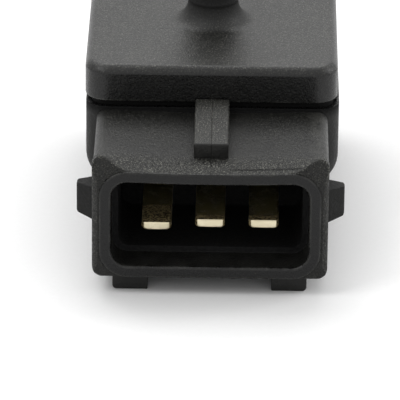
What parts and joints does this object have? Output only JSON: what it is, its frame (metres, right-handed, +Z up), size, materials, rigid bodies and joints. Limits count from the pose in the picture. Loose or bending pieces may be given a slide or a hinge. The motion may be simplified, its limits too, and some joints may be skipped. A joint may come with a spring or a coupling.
{
  "type": "manifold absolute pressure sensor",
  "caption": "Intake manifold pressure sensor: black moulded housing with a blade connector in front and a lid with an upright hose nipple over a sealed pressure cell.",
  "frame": {"origin": "middle of the part's footprint, on the surface that its two rails stand on", "axes": "+Z up along the hose nipple, -Y out of the connector's mouth, +X to the right seen from the connector"},
  "size_m": [0.025, 0.0392, 0.0276],
  "materials": {
    "housing_plastic": "moulded, fine matt grain",
    "lid_plastic": "moulded, fine matt grain",
    "terminal_metal": "stamped and plated, lightly tarnished",
    "sealing_adhesive": "cured bead",
    "board_silicone": "cured film",
    "alumina_ceramic": "fired, matt",
    "cell_glass": "polished",
    "silicon": "polished wafer",
    "dam_plastic": "moulded",
    "silicone_gel": "clear soft gel",
    "chip_plastic": "moulded",
    "capacitor_ceramic": "fired, with tinned ends",
    "resistor_ceramic": "glazed film",
    "bond_aluminium": "bright rolled ribbon"
  },
  "bodies": {
    "root": {"housing": "housing_plastic", "lid": "lid_plastic", "lid_adhesive": "sealing_adhesive", "board_adhesive": "board_silicone", "circuit_board": "alumina_ceramic", "cell_base": "cell_glass", "sensor_die": "silicon", "gel_dam": "dam_plastic", "protective_gel": "silicone_gel", "signal_chip": "chip_plastic", "terminal_1": "terminal_metal", "resistor_1": "resistor_ceramic", "bond_ribbon_1": "bond_aluminium", "terminal_2": "terminal_metal", "resistor_2": "resistor_ceramic", "bond_ribbon_2": "bond_aluminium", "terminal_3": "terminal_metal", "resistor_3": "resistor_ceramic", "bond_ribbon_3": "bond_aluminium", "capacitor_1": "capacitor_ceramic", "capacitor_2": "capacitor_ceramic", "capacitor_3": "capacitor_ceramic", "capacitor_4": "capacitor_ceramic"}
  },
  "joints": []
}
